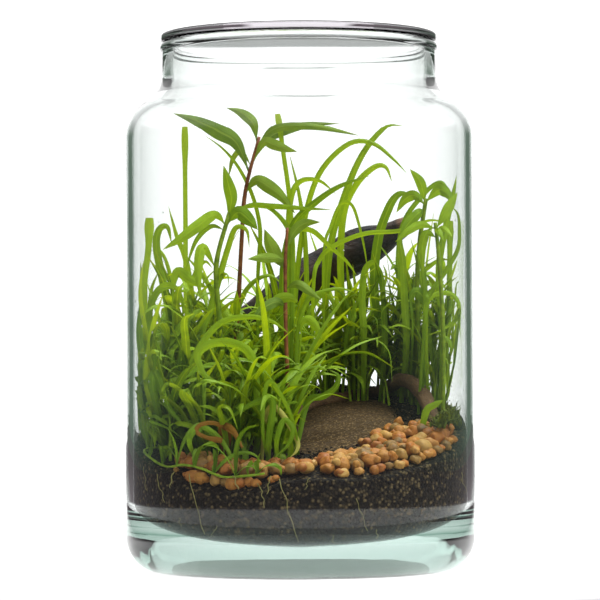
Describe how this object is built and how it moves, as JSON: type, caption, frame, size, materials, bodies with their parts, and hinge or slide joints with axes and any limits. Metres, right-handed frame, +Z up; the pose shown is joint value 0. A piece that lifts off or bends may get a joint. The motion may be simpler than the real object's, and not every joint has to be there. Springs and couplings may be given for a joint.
{
  "type": "glass plant terrarium",
  "caption": "Tall round glass jar with a resting glass lid, planted with ribbon grass, red-stemmed plants, driftwood, a bowed root, sand and gravel on black granular soil.",
  "frame": {"origin": "centre of the jar's flat base, at the height that it stands on", "axes": "+Z up along the jar's axis, -Y towards the front, where the sand patch and the gravel show, +X to the right as seen from the front"},
  "size_m": [0.16, 0.16, 0.2462],
  "materials": {
    "glass": "clear pressed glass, faintly teal in thick places",
    "soil": "black granular soil, damp",
    "sand": "grey-brown fine sand",
    "gravel": "rounded orange, pink and beige pebbles",
    "driftwood": "wet black-brown driftwood",
    "root": "brown bark",
    "grass": "fresh green leaf, faintly glossy",
    "leaf": "dark green leaf on red-brown stems",
    "withered": "dry orange-brown leaf"
  },
  "bodies": {
    "root": {"glass_jar": "glass", "glass_lid": "glass", "soil": "soil", "sand_patch": "sand", "driftwood_branch": "driftwood", "arched_root": "root", "gravel_left": "gravel", "gravel_front_left": "gravel", "gravel_front_right": "gravel", "gravel_right": "gravel", "red_stem_tall": "leaf", "red_stem_short": "leaf", "shoot_left": "grass", "shoot_right": "grass", "shoot_right_front": "grass", "withered_leaf": "withered", "grass_tuft_01": "grass", "grass_tuft_02": "grass", "grass_tuft_03": "grass", "grass_tuft_04": "grass", "grass_tuft_05": "grass", "grass_tuft_06": "grass", "grass_tuft_07": "grass", "grass_tuft_08": "grass", "grass_tuft_09": "grass", "grass_tuft_10": "grass", "grass_tuft_11": "grass", "grass_tuft_12": "grass", "grass_tuft_13": "grass", "grass_tuft_14": "grass", "grass_tuft_15": "grass", "grass_tuft_16": "grass", "grass_tuft_17": "grass", "grass_tuft_18": "grass", "grass_tuft_19": "grass", "grass_tuft_20": "grass", "grass_tuft_21": "grass"}
  },
  "joints": []
}
